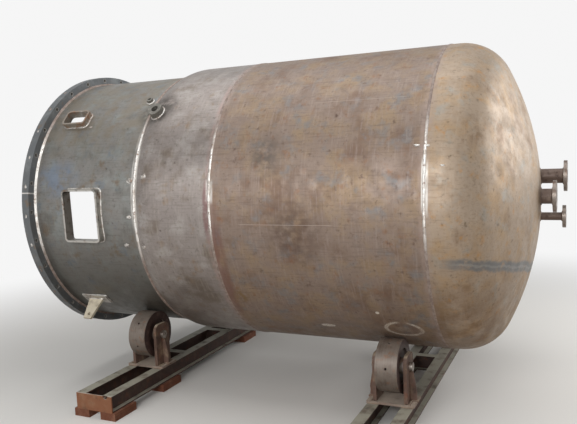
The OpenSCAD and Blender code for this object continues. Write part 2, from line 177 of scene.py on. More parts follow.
def stack(tree, ground, coats, kind="RGBA"):
    """Lays coats over a ground; each coat is a colour or number and its mask."""
    under, over, out = (6, 7, 2) if kind == "RGBA" else (2, 3, 0)
    made = ground
    for coat, mask in coats:
        mix = add(tree, "ShaderNodeMix", {0: mask, under: made, over: coat}, data_type=kind)
        made = mix.outputs[out]
    return made


print("a 60 mm patch is a noise of scale", round(1000 / 60, 1), "on Object coordinates")

# %% [markdown]
# A mark on the vessel belongs to a station and an angle, whatever way the surface
# faces there. So the shader first works out where round the axis a point lies, and
# an oval mark is then measured on the unrolled skin, like chalk on a flat sheet.

# %% Places on the vessel
Spot = namedtuple("Spot", "x angle radius near up")


def round_place(tree, place):
    """Where a shaded point lies: along the axis, round it, from it, and beside it."""
    axes = add(tree, "ShaderNodeSeparateXYZ", {0: place}).outputs
    up = add(tree, "ShaderNodeMath", {0: axes[2], 1: AXIS_Z}, operation="SUBTRACT").outputs[0]
    near = add(tree, "ShaderNodeMath", {0: axes[1], 1: -1.0}, operation="MULTIPLY").outputs[0]
    angle = add(tree, "ShaderNodeMath", {0: up, 1: near}, operation="ARCTAN2").outputs[0]
    flat = add(tree, "ShaderNodeCombineXYZ", {1: near, 2: up}).outputs[0]
    radius = add(tree, "ShaderNodeVectorMath", {0: flat}, operation="LENGTH").outputs["Value"]
    return Spot(axes[0], angle, radius, near, up)


def oval(tree, spot, at_x, at_angle, half_x, half_arc):
    """Distance from a place on the skin, as a share of an oval's half sizes in metres.

    It is 0 in the middle of the oval and 1 on its rim.
    """
    along = add(tree, "ShaderNodeMath", {0: spot.x, 1: at_x}, operation="SUBTRACT").outputs[0]
    turned = add(tree, "ShaderNodeMath",
                 {0: spot.angle, 1: math.radians(at_angle)}, operation="SUBTRACT").outputs[0]
    flat = add(tree, "ShaderNodeCombineXYZ", {0: along, 1: turned}).outputs[0]
    scaled = add(tree, "ShaderNodeVectorMath",
                 {0: flat, 1: (1 / half_x, SHELL_R / half_arc, 1)}, operation="MULTIPLY")
    return add(tree, "ShaderNodeVectorMath",
               {0: scaled.outputs[0]}, operation="LENGTH").outputs["Value"]


def blot(tree, spot, at_x, at_angle, half_x, half_arc, full, fade):
    """1 over the full share of an oval, fading out over a further share of it."""
    return band(tree, oval(tree, spot, at_x, at_angle, half_x, half_arc), 0.0, full, fade)


print("one degree round the shell is", round(math.radians(1) * SHELL_R * 1000, 1), "mm")

# %% [markdown]
# The shell and heads are hot rolled carbon steel plate. Rolling leaves a blue-grey
# oxide skin, and rain and handling turn it to thin brown rust, thicker in patches,
# with faint marks down the sides. One function makes such a plate from its shades,
# because the skirt, the heads and the shell differ only in colour and in how far
# the rust has come. Beside each seam a band is ground back to pinkish metal. On the
# near side a stretch of it is painted near white, partly where it was ground last
# and partly as a painted highlight.

# %% Plate finish
GROUND_HALF, GROUND_FADE = 0.016, 0.022


def plate_finish(name, ground, shades, pale, dark, seams, metallic=0.45,
                 ground_band="#a18f86", fresh_and_highlight=()):
    """Hot rolled plate, and where its shaded point lies, and its colour so far.

    shades are (hex, size in mm, low, high), pale and dark are for its fine marks, and
    seams are world X. The last argument lists stretches of a seam painted near white,
    partly newly ground and partly a painted highlight, as (seam X, middle angle, half
    angle, half width).
    """
    finish, tree, shader, place = new_finish(name, metallic, 0.48)
    spot = round_place(tree, place)
    coats = []
    for i, (code, size, low, high) in enumerate(shades):
        coats.append((srgb(code), patches(tree, place, size, low, high, shift=3.1 * i + 0.7)))
    # Rain marks it down the sides, rolling left lines along it, and rust specks it.
    down = patches(tree, place, 11, 0.50, 0.74, stretch=(1, 9, 12), detail=2.0, shift=9.0)
    along = patches(tree, place, 10, 0.50, 0.74, stretch=(12, 1, 1), detail=2.0, shift=5.0)
    specks = patches(tree, place, 16, 0.52, 0.72, detail=5.0, shift=6.0)
    coats.append((srgb(pale), both(tree, 0.38, down)))
    coats.append((srgb(dark), both(tree, 0.34, along)))
    coats.append((srgb(dark), both(tree, 0.40, specks)))
    for seam in seams:
        grinding = patches(tree, place, 60, 0.30, 0.70, shift=2.0)
        beside = band(tree, spot.x, seam, GROUND_HALF, GROUND_FADE)
        coats.append((srgb(ground_band), both(tree, beside, 0.7, grinding)))
    # Near-white stretches on the near side: partly fresh grinding, partly a painted highlight.
    for seam, middle, half, wide in fresh_and_highlight:
        reach = math.radians(half)
        strokes = patches(tree, place, 16, 0.30, 0.56, stretch=(1, 7, 7), shift=15.0)
        coats.append((srgb("#d8d4ce"), both(
            tree, band(tree, spot.x, seam, wide * 0.7, wide * 0.5),
            band(tree, spot.angle, math.radians(middle), reach, reach), strokes)))
    return finish, tree, shader, place, spot, stack(tree, srgb(ground), coats)


def close_plate(tree, shader, place, colour, rough=(0.42, 0.62)):
    """Links the colour, an uneven roughness and the plate's slight relief."""
    tree.links.new(colour, shader.inputs["Base Color"])
    worn = patches(tree, place, 70, 0.30, 0.70, shift=7.0)
    tree.links.new(stack(tree, rough[0], [(rough[1], worn)], "FLOAT"), shader.inputs["Roughness"])
    # Rust and scale grain is about 2 mm; plates are also wavy over 250 mm.
    grain = patches(tree, place, 2.2, 0.2, 0.8, detail=3.0)
    wave = patches(tree, place, 250, 0.1, 0.9, detail=1.0)
    fine = add(tree, "ShaderNodeBump", {"Height": grain, "Distance": 0.00035, "Strength": 0.6})
    broad = add(tree, "ShaderNodeBump", {
        "Height": wave, "Distance": 0.003, "Strength": 0.5, "Normal": fine.outputs[0]})
    tree.links.new(broad.outputs[0], shader.inputs["Normal"])


print("the ground band at a seam is", round(2000 * (GROUND_HALF + GROUND_FADE)), "mm wide")

# %% [markdown]
# The shell course is brown with a pink cast, greyer where scale is left. It carries
# a chalk ring, two paint dabs and two faint lengthwise lines, all marked for later
# work, and rust and water have stained it. All of these are masks made from the
# station and the angle, so they lie in the surface.

# %% Shell course
shell_rust, tree, shader, place, spot, colour = plate_finish(
    "rusted_shell_plate", "#8b7a6e",
    [("#947f68", 160, 0.42, 0.66), ("#765f50", 230, 0.48, 0.74), ("#7f7b79", 110, 0.52, 0.74),
     ("#8a6850", 60, 0.56, 0.78), ("#604b41", 36, 0.58, 0.80)],
    "#9f9088", "#68564d", [BOTTOM_SEAM_X, CROWN_SEAM_X],
    fresh_and_highlight=[(BOTTOM_SEAM_X, 7.5, 2.5, 0.026), (CROWN_SEAM_X, 9.0, 5.0, 0.014)])

# Red rust stands along its first seam, and one ochre patch where water has stood.
first_seam = both(tree, blot(tree, spot, BOTTOM_SEAM_X + 0.032, -20.0, 0.048, 0.46, 0.4, 0.8),
                  0.65, patches(tree, place, 60, 0.22, 0.56, stretch=(1, 3, 3), shift=14.0))
ochre = both(tree, blot(tree, spot, BOTTOM_SEAM_X + 0.10, -34.0, 0.07, 0.07, 0.3, 0.8),
             0.7, patches(tree, place, 30, 0.30, 0.60, shift=19.0))
# Two broad darker stains lie on the near side, below and left of the middle.
stain_grain = patches(tree, place, 55, 0.30, 0.62, shift=12.0)
stain_low = both(tree, blot(tree, spot, station(1915), -7.0, 0.20, 0.24, 0.25, 0.9),
                 stain_grain, 0.7)
stain_high = both(tree, blot(tree, spot, station(1750), 20.0, 0.13, 0.16, 0.2, 0.9),
                  stain_grain, 0.8)
# The chalk ring is filled faintly in its middle and has gaps in its rim.
chalk_grain = patches(tree, place, 5, 0.30, 0.62)
ring_size = oval(tree, spot, station(2433), -48.0, 0.100, 0.074)
ring_middle = both(tree, band(tree, ring_size, 0.0, 0.30, 0.25), 0.7, chalk_grain)
ring_rim = both(tree, band(tree, ring_size, 1.0, 0.06, 0.10),
                patches(tree, place, 80, 0.33, 0.53, shift=4.4), chalk_grain)
dab = both(tree, blot(tree, spot, station(1980), -49.4, 0.044, 0.018, 0.85, 0.25), chalk_grain)
dot = blot(tree, spot, station(2315), -38.3, 0.012, 0.012, 0.7, 0.4)
# A drawn line is about 2 mm wide, which is 0.002 radians round the shell.
LINE_HALF, LINE_SOFT, LINE_REACH, LINE_END = 0.0009, 0.0012, 0.26, 0.03
low_line = both(tree, band(tree, spot.angle, math.radians(-4.0), LINE_HALF, LINE_SOFT),
                band(tree, spot.x, station(1868), LINE_REACH, LINE_END), 0.55)
high_line = both(tree, band(tree, spot.angle, math.radians(40.0), LINE_HALF, LINE_SOFT),
                 band(tree, spot.x, station(2234), LINE_REACH, LINE_END), 0.35)
colour = stack(tree, colour, [
    (srgb("#734c42"), first_seam), (srgb("#7e6238"), ochre),
    (srgb("#5a473d"), stain_low), (srgb("#5f5650"), stain_high),
    (srgb("#b3a596"), ring_middle), (srgb("#e0d8cc"), ring_rim),
    (srgb("#e4dfd6"), dab), (srgb("#d8d0c6"), dot),
    (srgb("#bdb0a6"), low_line), (srgb("#b5a89e"), high_line)])
close_plate(tree, shader, place, colour)
dress(shell_rust, "shell_course")

# %% [markdown]
# The crown head rusts more orange, since its forming burnt off the scale. It was
# pressed from two plates: the weld between them crosses the head as a straight
# chord 0.41 m below the axis, ground flat and left blue-grey by the heat. A chord
# is where the head meets a plane, so its mask is a distance from that plane.

# %% Crown head
crown_rust, tree, shader, place, spot, colour = plate_finish(
    "orange_rusted_head", "#a59380",
    [("#a98f70", 150, 0.44, 0.68), ("#846b52", 190, 0.50, 0.74), ("#9a948a", 100, 0.52, 0.74),
     ("#b08450", 60, 0.56, 0.78), ("#665440", 34, 0.58, 0.82)],
    "#b0a08e", "#7a6650", [CROWN_SEAM_X], fresh_and_highlight=[(CROWN_SEAM_X, 8.0, 5.0, 0.020)])

# Water gathers on its lower half, so the rust there is thicker and browner.
wet_side = add(tree, "ShaderNodeMapRange", {0: spot.up, 1: -0.10, 2: -0.75},
               interpolation_type="SMOOTHSTEP").outputs[0]
wet_rust = both(tree, wet_side, 0.6, patches(tree, place, 110, 0.30, 0.60, shift=11.0))
# The chord's plane is a little tilted: this is its normal and its distance.
CHORD_NEAR, CHORD_UP, CHORD_DROP = 0.185, 0.983, 0.410
tilt = add(tree, "ShaderNodeMath",
           {0: spot.near, 1: -CHORD_NEAR}, operation="MULTIPLY").outputs[0]
rise = add(tree, "ShaderNodeMath",
           {0: spot.up, 1: CHORD_UP, 2: tilt}, operation="MULTIPLY_ADD").outputs[0]
uneven = add(tree, "ShaderNodeMapRange",
             {0: patches(tree, place, 120, 0.2, 0.8), 3: -0.012, 4: 0.012}).outputs[0]
rise = add(tree, "ShaderNodeMath", {0: rise, 1: uneven}, operation="ADD").outputs[0]
past_knuckle = add(tree, "ShaderNodeMapRange", {
    0: spot.x, 1: CROWN_TANGENT_X, 2: CROWN_TANGENT_X + 0.10}).outputs[0]
chord_band = both(tree, band(tree, rise, -CHORD_DROP, 0.016, 0.020), past_knuckle, 0.85,
                  patches(tree, place, 45, 0.20, 0.50, shift=6.0))
chord_core = both(tree, band(tree, rise, -CHORD_DROP, 0.004, 0.004), past_knuckle, 0.35)
colour = stack(tree, colour, [
    (srgb("#74583a"), wet_rust), (srgb("#6b6e70"), chord_band), (srgb("#9c9a95"), chord_core)])
close_plate(tree, shader, place, colour)
dress(crown_rust, "crown_head")

# %% [markdown]
# The bottom head keeps more of its grey scale, with brown stains, and is smoother
# for it. Where it meets the skirt, round the side coupling, both plates are
# blackened by the torch that cut the coupling's hole.

# %% Bottom head
SMOOTH_SCALE = (0.30, 0.48)


def soot(tree, place, spot):
    """Black left by the torch that cut the hole for the side coupling."""
    near_hole = blot(tree, spot, station(925), 43.0, 0.16, 0.13, 0.45, 0.75)
    return both(tree, near_hole, 0.85, patches(tree, place, 40, 0.26, 0.56, shift=16.0))


head_scale, tree, shader, place, spot, colour = plate_finish(
    "grey_tan_mill_scale", "#948b86",
    [("#a59e99", 120, 0.44, 0.68), ("#7c7065", 160, 0.50, 0.74), ("#8f7a66", 80, 0.56, 0.78),
     ("#625850", 36, 0.58, 0.80)],
    "#aaa299", "#6f655c", [BOTTOM_SEAM_X], metallic=0.6, ground_band="#a58d86",
    fresh_and_highlight=[(SKIRT_SEAM_X, 11.0, 11.0, 0.026), (BOTTOM_SEAM_X, 7.5, 2.5, 0.022)])
red_edge = both(tree, blot(tree, spot, BOTTOM_SEAM_X - 0.022, 1.0, 0.024, 0.20, 0.5, 0.6),
                0.7, patches(tree, place, 50, 0.22, 0.56, shift=20.0))
colour = stack(tree, colour, [
    (srgb("#7a5553"), red_edge), (srgb("#48433e"), soot(tree, place, spot))])
close_plate(tree, shader, place, colour, SMOOTH_SCALE)
dress(head_scale, "bottom_head")

# %% [markdown]
# The skirt is the newest plate: dark blue-grey scale with little rust. It has begun
# to brown above and is bluest beside the rings, and it is painted darker below, as
# shade and some dirt.

# %% Skirt
skirt_scale, tree, shader, place, spot, colour = plate_finish(
    "blue_grey_mill_scale", "#8a8783",
    [("#8f928f", 130, 0.44, 0.68), ("#6e6c66", 170, 0.50, 0.74), ("#727e8a", 110, 0.56, 0.76),
     ("#7f6d5a", 90, 0.54, 0.76), ("#545048", 32, 0.58, 0.80)],
    "#93958f", "#5f5d58", [RING_SEAM_X, SKIRT_SEAM_X], metallic=0.55,
    ground_band="#99948e", fresh_and_highlight=[(SKIRT_SEAM_X, 14.0, 12.0, 0.026)])
high_side = add(tree, "ShaderNodeMapRange", {0: spot.up, 1: 0.20, 2: 0.55},
                interpolation_type="SMOOTHSTEP").outputs[0]
brown = both(tree, high_side, 0.6, patches(tree, place, 90, 0.34, 0.62, shift=17.0))
blue = both(tree, blot(tree, spot, station(240), 14.0, 0.20, 0.15, 0.4, 0.7),
            0.6, patches(tree, place, 70, 0.30, 0.60, shift=18.0))
# Darker towards the bottom: painted shade, with some dirt.
shaded_low_side = add(tree, "ShaderNodeMapRange", {0: spot.up, 1: 0.10, 2: -0.60},
               interpolation_type="SMOOTHSTEP").outputs[0]
grease_and_shade = both(tree, shaded_low_side, 0.75, patches(tree, place, 140, 0.10, 0.45, shift=11.0))
colour = stack(tree, colour, [
    (srgb("#867b6a"), brown), (srgb("#7d8da3"), blue),
    (srgb("#4d4a43"), grease_and_shade), (srgb("#45433e"), soot(tree, place, spot))])
close_plate(tree, shader, place, colour, SMOOTH_SCALE)
dress(skirt_scale, "skirt")

# %% [markdown]
# Two rings are stacked at the skirt's foot, cut by flame from thick plate that keeps
# its dark scale. Thirty holes repeat all the way round, and drilling leaves their
# edges bright, so the angle is folded into one pitch to find them. A ground butt
# weld crosses each ring.

# %% Base ring and backing ring
ring_scale, tree, shader, place = new_finish("dark_ring_plate", 0.4, 0.5)
spot = round_place(tree, place)
HOLES = 30
HOLE_PITCH = 360 / HOLES
HOLE_CIRCLE_R = 0.904
pitch = math.radians(HOLE_PITCH)
from_half = add(tree, "ShaderNodeMath", {0: spot.angle, 1: pitch / 2}).outputs[0]
fold = add(tree, "ShaderNodeMath",
           {0: from_half, 1: pitch}, operation="FLOORED_MODULO").outputs[0]
off = add(tree, "ShaderNodeMath", {0: fold, 1: pitch / 2}, operation="SUBTRACT").outputs[0]
arc = add(tree, "ShaderNodeMath", {0: off, 1: HOLE_CIRCLE_R}, operation="MULTIPLY").outputs[0]
out = add(tree, "ShaderNodeMath",
          {0: spot.radius, 1: HOLE_CIRCLE_R}, operation="SUBTRACT").outputs[0]
flat = add(tree, "ShaderNodeCombineXYZ", {0: arc, 1: out}).outputs[0]
from_hole = add(tree, "ShaderNodeVectorMath", {0: flat}, operation="LENGTH").outputs["Value"]
drilled = both(tree, band(tree, from_hole, 0.0, 0.0130, 0.002), 0.8)
mill = patches(tree, place, 90, 0.45, 0.72)
rusty = patches(tree, place, 60, 0.56, 0.78, shift=4.0)
butt_weld = both(tree, band(tree, spot.angle, math.radians(7.8), 0.0034, 0.0022),
                 patches(tree, place, 9, 0.28, 0.48))
colour = stack(tree, srgb("#6c6f71"), [
    (srgb("#7f8283"), mill), (srgb("#7d6a58"), rusty),
    (srgb("#a8a49e"), drilled), (srgb("#d9d6d1"), butt_weld)])
close_plate(tree, shader, place, colour)
dress(ring_scale, "base_ring", "backing_ring")

# %% [markdown]
# Weld metal is bright when it has just been ground or brushed, and reflects like
# dull silver. Its surface keeps the small ripples of the weld pool, here every 7 mm
# round the seam. The CAD gives each girth weld its rounded cap. A seam weld is painted
# pale and shiny in a band of angles on the near side, partly where it was ground last
# and partly as a painted highlight. Away from that band rust has dulled the bead,
# which is then no mirror.

# %% Weld finish
RIPPLE = 0.007
SHINY, DULL = (1.0, 0.34), (0.2, 0.6)  # metallic and roughness


def weld_finish(name, ground_and_highlight_zone=None):
    """Weld metal with ripples, pale and shiny at a (middle, half) angle if one is given: partly
    ground metal and partly a painted highlight.
    """
    finish, tree, shader, place = new_finish(name, *SHINY)
    spot = round_place(tree, place)
    coats = [(srgb("#a4968b"), both(tree, patches(tree, place, 45, 0.46, 0.62), 0.7)),
             (srgb("#7d6556"), patches(tree, place, 24, 0.56, 0.74, shift=3.0))]
    if ground_and_highlight_zone:
        middle, half = [math.radians(angle) for angle in ground_and_highlight_zone]
        # Pale and shiny within the band: partly ground metal, partly a painted highlight.
        ground_and_highlight_band = band(tree, spot.angle, middle, half, 0.30)
        outside_highlight_band = add(tree, "ShaderNodeMath", {0: 1.0, 1: ground_and_highlight_band}, operation="SUBTRACT").outputs[0]
        rust = patches(tree, place, 30, 0.4, 0.6)
        coats.append((stack(tree, srgb("#a2938a"), [(srgb("#8a7970"), rust)]), outside_highlight_band))
        for i, socket in enumerate(("Metallic", "Roughness")):
            uneven = stack(tree, SHINY[i], [(DULL[i], outside_highlight_band)], "FLOAT")
            tree.links.new(uneven, shader.inputs[socket])
    tree.links.new(stack(tree, srgb("#dcd9d4"), coats), shader.inputs["Base Color"])
    turns = add(tree, "ShaderNodeMath", {
        0: spot.angle, 1: 2 * math.pi * SHELL_R / RIPPLE}, operation="MULTIPLY").outputs[0]
    ripple = add(tree, "ShaderNodeMath", {0: turns}, operation="SINE").outputs[0]
    grain = patches(tree, place, 6, 0.3, 0.7)
    relief = add(tree, "ShaderNodeMath",
                 {0: ripple, 1: 0.4, 2: grain}, operation="MULTIPLY_ADD").outputs[0]
    bumps = add(tree, "ShaderNodeBump", {"Height": relief, "Distance": 0.0012, "Strength": 0.7})
    tree.links.new(bumps.outputs[0], shader.inputs["Normal"])
    return finish


# Both seam finishes carry a painted highlight in their pale band on the near side.
seam_weld = weld_finish("ground_seam_weld_painted_highlight", (10.0, 10.0))
dress(seam_weld, "bottom_seam_weld", "crown_seam_weld")
skirt_seam_weld = weld_finish("ground_skirt_weld_painted_highlight", (9.0, 18.0))
dress(skirt_seam_weld, "skirt_weld", "base_ring_weld")
weld_bright = weld_finish("brushed_fitting_weld")

# %% [markdown]
# The access opening's frame and the lug's pad are cut from bar and plate and freshly
# ground, so they are the palest metal here, with fine lines where the disc passed.
# The pipe opening's frame is older bar, browner and duller. The lug was painted
# with pale primer, which is matt, dirty and chipped. The lines are a bump and no
# shape, because nothing so shallow changes an outline.

# %% Frames and lug
cut_bar, tree, shader, place = new_finish("ground_flat_bar", 0.75, 0.42)
rusty = patches(tree, place, 45, 0.52, 0.72)
scale_left = patches(tree, place, 70, 0.50, 0.66, shift=5.0)
colour = stack(tree, srgb("#b9b5ae"), [
    (srgb("#7f7c77"), scale_left), (srgb("#7d6553"), rusty)])
tree.links.new(colour, shader.inputs["Base Color"])
# Real grinding lines are finer than 1.5 mm, and are drawn as coarse as can show.
lines = patches(tree, place, 1.5, 0.3, 0.7, stretch=(14, 1, 1))
bumps = add(tree, "ShaderNodeBump", {"Height": lines, "Distance": 0.0003, "Strength": 0.5})
tree.links.new(bumps.outputs[0], shader.inputs["Normal"])
dress(cut_bar, "access_frame", "lug_pad")

old_bar, tree, shader, place = new_finish("brown_flat_bar", 0.45, 0.5)
rusty = patches(tree, place, 45, 0.46, 0.66)
bare = patches(tree, place, 30, 0.54, 0.70, shift=6.0)
colour = stack(tree, srgb("#968d82"), [(srgb("#94735c"), rusty), (srgb("#b9b5ae"), bare)])
close_plate(tree, shader, place, colour)
dress(old_bar, "vent_frame")

lug_primer, tree, shader, place = new_finish("pale_primed_plate", 0.0, 0.55)
dirt = patches(tree, place, 60, 0.46, 0.74)
chips = patches(tree, place, 14, 0.66, 0.74, shift=2.0)
colour = stack(tree, srgb("#d9cfb9"), [(srgb("#a79a84"), dirt), (srgb("#7a5f4a"), chips)])
tree.links.new(colour, shader.inputs["Base Color"])
dress(lug_primer, "lug_plate")

# %% [markdown]
# The nozzle necks are forged steel with dark rust, which scatters light widely.
# Their flanges were turned, so they are smoother and still shine through the rust.
# The coupling and the stub beside the skirt's seam are grey with soot. Three short
# finishes serve, because only their shades and their shine differ.

# %% Nozzles, coupling and stub
forged, tree, shader, place = new_finish("rusted_forged_steel", 0.25, 0.6)
bright = patches(tree, place, 50, 0.50, 0.72)
deep = patches(tree, place, 25, 0.52, 0.74, shift=3.0)
colour = stack(tree, srgb("#76645a"), [(srgb("#96867a"), bright), (srgb("#513f37"), deep)])
close_plate(tree, shader, place, colour)
NOZZLE_NAMES = ("centre_nozzle", "upper_nozzle", "lower_nozzle", "bottom_nozzle")
dress(forged, *[f"{name}_neck" for name in NOZZLE_NAMES])

turned_steel, tree, shader, place = new_finish("turned_flange_steel", 0.7, 0.42)
rusty = patches(tree, place, 40, 0.46, 0.70)
deep = patches(tree, place, 18, 0.58, 0.76, shift=3.0)
colour = stack(tree, srgb("#8d837b"), [(srgb("#786256"), rusty), (srgb("#51413a"), deep)])
tree.links.new(colour, shader.inputs["Base Color"])
dress(turned_steel, *[f"{name}_flange" for name in NOZZLE_NAMES])

sooty, tree, shader, place = new_finish("sooty_grey_steel", 0.3, 0.6)
bare = patches(tree, place, 18, 0.48, 0.66)
colour = stack(tree, srgb("#716e67"), [(srgb("#8f8b83"), bare)])
close_plate(tree, shader, place, colour)
dress(sooty, "side_coupling", "vent_stub")

# %% [markdown]
# The rollers are solid steel wheels. Their treads are rubbed by the vessel, with
# scuffs round them, and their corners are rubbed bright. Their recessed sides, found
# where the surface faces along the axle, carry dark red-brown oxide paint.

# %% Rollers
STANDS = ("skirt", "shell")
roller_steel, tree, shader, place = new_finish("worn_roller_steel", 0.35, 0.5)
stain = patches(tree, place, 60, 0.44, 0.66)
orange = patches(tree, place, 45, 0.54, 0.72, shift=4.0)
# Real scuffs are finer than 4 mm, and are drawn as coarse as can show.
scuff = patches(tree, place, 4, 0.35, 0.75, stretch=(1, 20, 20))
normal = add(tree, "ShaderNodeNewGeometry").outputs["Normal"]
facing = add(tree, "ShaderNodeSeparateXYZ", {0: normal}).outputs
sideways = add(tree, "ShaderNodeMath", {0: facing[0]}, operation="ABSOLUTE").outputs[0]
side_face = add(tree, "ShaderNodeMapRange", {0: sideways, 1: 0.85, 2: 0.95}).outputs[0]
side_worn = patches(tree, place, 30, 0.50, 0.72, shift=8.0)
side_paint = stack(tree, srgb("#45332f"), [(srgb("#5e4a42"), side_worn)])
coats = [(srgb("#675a50"), stain), (srgb("#87552f"), both(tree, orange, 0.6)),
         (srgb("#8f877f"), both(tree, scuff, 0.4)), (side_paint, side_face)]
x = add(tree, "ShaderNodeSeparateXYZ", {0: place}).outputs[0]
CORNER = 0.003
for stand in STANDS:
    wheel_low, wheel_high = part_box(f"{stand}_roller_near")
    for edge in (wheel_low.x + CORNER, wheel_high.x - CORNER):
        coats.append((srgb("#a8999a"), both(tree, band(tree, x, edge, CORNER, 0.002), 0.8)))
# The ground colour is kept dark as painted shade, for the vessel's shade over the rollers.
tree.links.new(stack(tree, srgb("#7b7067"), coats), shader.inputs["Base Color"])
bumps = add(tree, "ShaderNodeBump", {"Height": scuff, "Distance": 0.0003, "Strength": 0.5})
tree.links.new(bumps.outputs[0], shader.inputs["Normal"])
dress(roller_steel, *[f"{stand}_roller_{row}" for stand in STANDS for row in ("near", "far")])

# %% [markdown]
# The stands are channels and plates in red-brown oxide paint, which is matt. It is
# worn to brown and rust in patches. Dust settles on whatever faces up, so the
# dust's mask comes from the surface's normal as well as from a pattern.

# %% Painted stands
def oxide_paint(name, paint, worn, dust):
    """Red-brown paint over steel, worn in patches, with dust on what faces up."""
    finish, tree, shader, place = new_finish(name, 0.1, 0.6)
    normal = add(tree, "ShaderNodeNewGeometry").outputs["Normal"]
    facing = add(tree, "ShaderNodeSeparateXYZ", {0: normal}).outputs
    level = add(tree, "ShaderNodeMapRange", {0: facing[2], 1: 0.6, 2: 0.9}).outputs[0]
    rubbed = patches(tree, place, 70, 0.46, 0.70)
    rust = patches(tree, place, 40, 0.52, 0.74, shift=5.0)
    black = patches(tree, place, 120, 0.52, 0.72, shift=8.0)
    settled = both(tree, level, patches(tree, place, 90, 0.20, 0.55, shift=2.0))
    colour = stack(tree, srgb(paint), [
        (srgb(worn), both(tree, rubbed, 0.5)), (srgb("#7a4229"), both(tree, rust, 0.5)),
        (srgb("#2b211d"), both(tree, black, 0.7)), (srgb(dust), settled)])
    tree.links.new(colour, shader.inputs["Base Color"])
    grain = patches(tree, place, 4, 0.3, 0.7)
    bumps = add(tree, "ShaderNodeBump", {"Height": grain, "Distance": 0.0006, "Strength": 0.6})
    tree.links.new(bumps.outputs[0], shader.inputs["Normal"])
    return finish


def dress_stands(finish, *parts):
    """Gives the same parts of both stands a finish."""
    dress(finish, *[f"{stand}_stand_{part}" for stand in STANDS for part in parts])


dress_stands(oxide_paint("worn_red_oxide_beams", "#43302a", "#64503f", "#a39f90"),
             "rails", "braces")
bracket_paint = oxide_paint("worn_red_oxide_brackets", "#664f44", "#a08c74", "#ab9c88")
dress_stands(bracket_paint, "brackets")
dress_stands(oxide_paint("orange_rusted_end_plates", "#8a5b3f", "#9b7b60", "#c9bfb2"), "ends")
dress_stands(oxide_paint("bare_seat_plate", "#8f7f73", "#a89a8c", "#b5a697"), "seats")

# %% [markdown]
# The axles are turned steel under old grease, so they shine only here and there.
# One stand lies on blocks of red hardwood, sawn and weathered: their fibres run
# along the block, give it a rough grain and scatter light evenly. Real fibres are
# finer than the 3 mm here, which is as fine as can show from the camera.

# %% Axles and blocks
axle_steel, tree, shader, place = new_finish("dull_turned_axle", 0.8, 0.42)
grease_and_shade = patches(tree, place, 20, 0.46, 0.68)
tree.links.new(stack(tree, srgb("#a39b93"), [(srgb("#5d4a3e"), grease_and_shade)]),
               shader.inputs["Base Color"])
dress_stands(axle_steel, "axles")

timber, tree, shader, place = new_finish("weathered_hardwood_block", 0.0, 0.8)
fibre = patches(tree, place, 3, 0.35, 0.70, stretch=(1, 24, 1), detail=3.0)
worn = patches(tree, place, 60, 0.44, 0.70)
colour = stack(tree, srgb("#7c4a33"), [
    (srgb("#5b3526"), fibre), (srgb("#94705a"), both(tree, worn, 0.5))])
tree.links.new(colour, shader.inputs["Base Color"])
bumps = add(tree, "ShaderNodeBump", {"Height": fibre, "Distance": 0.001, "Strength": 0.6})
tree.links.new(bumps.outputs[0], shader.inputs["Normal"])
dress(timber, "skirt_stand_blocks")

# %% [markdown]
# Every fitting is held by a fillet weld. A fillet is a bead that follows a path:
# a rounded rectangle on the skirt, a circle round a pipe, a straight run under a
# plate. A curve with a round bevel, whose radius swells and shrinks a little from
# point to point, is the simplest true bead, and it is turned into a mesh at the end.

# %% Weld runs
KNOT_GAP = 0.008


def place_piece(name, mesh, finish, body):
    """Makes a mesh a smooth piece of the part and lets it ride on its body."""
    piece = bpy.data.objects.new(name, mesh)
    bpy.context.scene.collection.objects.link(piece)
    mesh.materials.clear()
    mesh.materials.append(finish)
    mesh.polygons.foreach_set("use_smooth", [True] * len(mesh.polygons))
    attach(piece, body)
    print(name, len(mesh.polygons), "faces")


def weld_run(name, runs, leg, finish, body="vessel", closed=True):
    """Beads of one leg size in metres along lists of points, as one mesh."""
    curve = bpy.data.curves.new(name, "CURVE")
    curve.dimensions = "3D"
    curve.bevel_depth = leg
    curve.bevel_resolution = 2
    curve.use_fill_caps = True
    for points in runs:
        spline = curve.splines.new("POLY")
        spline.points.add(len(points) - 1)
        for i, (knot, point) in enumerate(zip(spline.points, points)):
            knot.co = (*point, 1)
            knot.radius = 1 + 0.14 * math.sin(i * 2.1) + 0.10 * math.sin(i * 5.3)
        spline.use_cyclic_u = closed
    pattern = bpy.data.objects.new(name + "_path", curve)
    mesh = bpy.data.meshes.new_from_object(pattern)
    bpy.data.objects.remove(pattern)
    mesh.name = name
    place_piece(name, mesh, finish, body)


def stepped(start, end):
    """Points from start to end, a knot of the bead apart."""
    count = max(2, round((end - start).length / KNOT_GAP))
    return [start.lerp(end, i / count) for i in range(count + 1)]


print("a knot of a bead every", round(KNOT_GAP * 1000), "mm")

# %% [markdown]
# A point near a fitting is given in its own plane: u along the vessel, v round it.
# It drops onto the skin by Pythagoras, since the skin is a circle in that section.
# The skin's radius is the shell's, less over a head's knuckle, or the skirt's.

# %% Points on the skin
def skin_radius(x):
    """Radius of the vessel's skin at a world X, from the rings to the crown's knuckle."""
    depth = max(BOTTOM_TANGENT_X - x, x - CROWN_TANGENT_X, 0)
    knuckle = SHELL_R - KNUCKLE_R + math.sqrt(max(KNUCKLE_R ** 2 - depth ** 2, 0))
    return max(knuckle, SKIRT_R)


def on_skin(x, angle, u, v):
    """The skin point beside a fitting at x and angle."""
    turn = math.radians(angle)
    reach = math.sqrt(skin_radius(x + u) ** 2 - v ** 2)
    return Vector((x + u, -reach * math.cos(turn) + v * math.sin(turn),
                   AXIS_Z + reach * math.sin(turn) + v * math.cos(turn)))


def circle_outline(radius):
    """(u, v) points round a circle, a weld ripple apart."""
    count = max(12, round(2 * math.pi * radius / RIPPLE))
    turns = [2 * math.pi * i / count for i in range(count)]
    return [(radius * math.cos(turn), radius * math.sin(turn)) for turn in turns]


